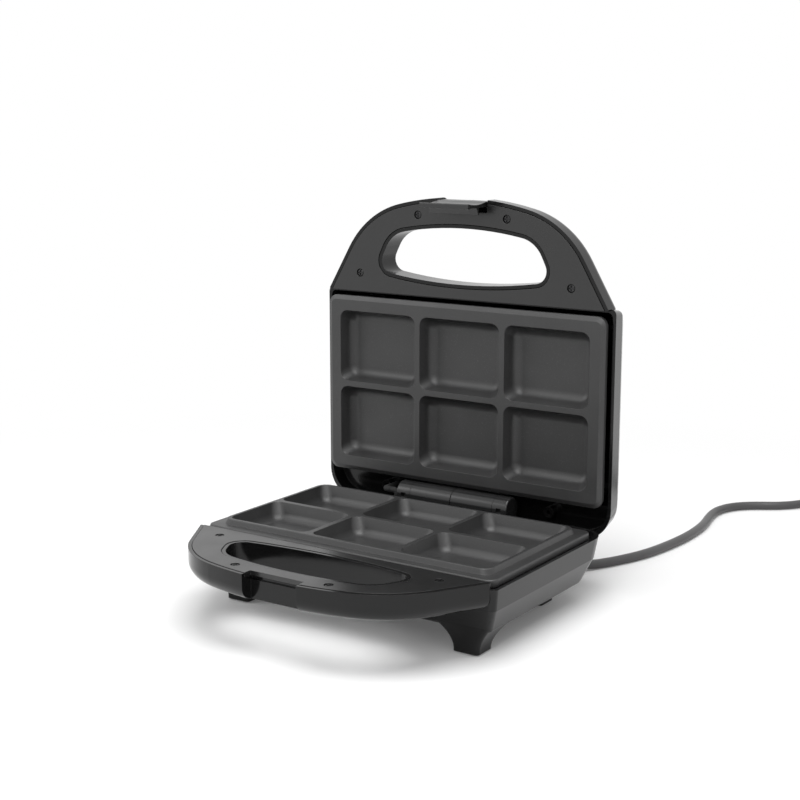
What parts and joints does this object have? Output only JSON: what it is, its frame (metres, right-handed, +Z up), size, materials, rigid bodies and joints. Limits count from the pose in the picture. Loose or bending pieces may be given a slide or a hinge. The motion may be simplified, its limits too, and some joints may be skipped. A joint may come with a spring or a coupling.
{
  "type": "mini cake maker",
  "caption": "Countertop cake maker with a hinged lid, two non-stick plates of shallow square cells, a handle opening in each half and a mains cord.",
  "frame": {"origin": "on the surface it stands on, under the middle of the appliance's box with the lid open, cord left out", "axes": "+Z up, front and handle towards -Y, hinge along X"},
  "size_m": [0.3866, 0.692, 0.2753],
  "materials": {
    "housing_plastic": "glossy moulded plastic",
    "cover_plastic": "satin moulded plastic",
    "hinge_plastic": "semi-gloss plastic",
    "black_screws": "blackened steel",
    "nonstick": "satin non-stick coating on cast aluminium",
    "heater": "oxidised steel sheath",
    "zinc_steel": "zinc plated",
    "tin_tray": "thin galvanised sheet",
    "foot_rubber": "matt rubber",
    "thermostat_metal": "satin",
    "fuse_sleeve": "woven glass sleeve",
    "lead_sleeve": "black woven glass sleeve",
    "pale_plastic": "natural nylon",
    "brass_parts": "satin",
    "wire_insulation": "silicone insulation",
    "red_lens": "translucent",
    "green_lens": "translucent",
    "neon_glass": "clear",
    "cord_rubber": "satin sheath",
    "cord_tie": "black strap",
    "plug_plastic": "satin moulded plastic",
    "plug_metal": "nickel plated"
  },
  "bodies": {
    "base": {"base_shell": "housing_plastic", "base_handle_cover": "cover_plastic", "base_handle_screws": "black_screws", "lower_plate": "nonstick", "lower_element": "heater", "lower_element_clamps": "zinc_steel", "lower_clamp_screws": "zinc_steel", "lower_reflector": "tin_tray", "lower_plate_screws": "zinc_steel", "foot_pads": "foot_rubber", "hinge_knuckles": "hinge_plastic", "hinge_knuckle_screws": "zinc_steel", "hinge_pin": "zinc_steel", "thermostat": "thermostat_metal", "thermal_fuse": "fuse_sleeve", "terminal_block": "pale_plastic", "terminal_screws": "brass_parts", "cord_clamp": "pale_plastic", "cord_clamp_screws": "zinc_steel", "strain_relief": "cord_rubber", "inner_cord": "cord_rubber", "hinge_lead": "lead_sleeve", "mains_wires": "wire_insulation", "element_wires": "wire_insulation", "power_cord": "cord_rubber", "cord_coil": "cord_rubber", "cord_tie": "cord_tie", "plug_body": "plug_plastic", "plug_pins": "plug_metal"},
    "lid": {"lid_shell": "housing_plastic", "lid_handle_cover": "cover_plastic", "lid_handle_screws": "black_screws", "upper_plate": "nonstick", "upper_element": "heater", "upper_element_clamps": "zinc_steel", "upper_clamp_screws": "zinc_steel", "upper_reflector": "tin_tray", "upper_plate_screws": "zinc_steel", "hinge_arms": "hinge_plastic", "hinge_arm_screws": "zinc_steel", "power_lamp_lens": "red_lens", "ready_lamp_lens": "green_lens", "lamp_holder": "pale_plastic", "neon_lamps": "neon_glass", "lid_lead": "lead_sleeve", "lid_wires": "wire_insulation", "latch_pin": "zinc_steel"},
    "latch": {"latch": "cover_plastic"}
  },
  "joints": [
    {"name": "lid_hinge", "type": "hinge", "parent": "base", "child": "lid", "pos_m": [0, 0.08893, 0.05585], "axis": [1, 0, 0], "range_deg": [0, 90]},
    {"name": "latch_pivot", "type": "hinge", "parent": "lid", "child": "latch", "pos_m": [0, 0.10357, 0.27045], "axis": [-1, 0, 0], "range_deg": [0, 30]}
  ]
}
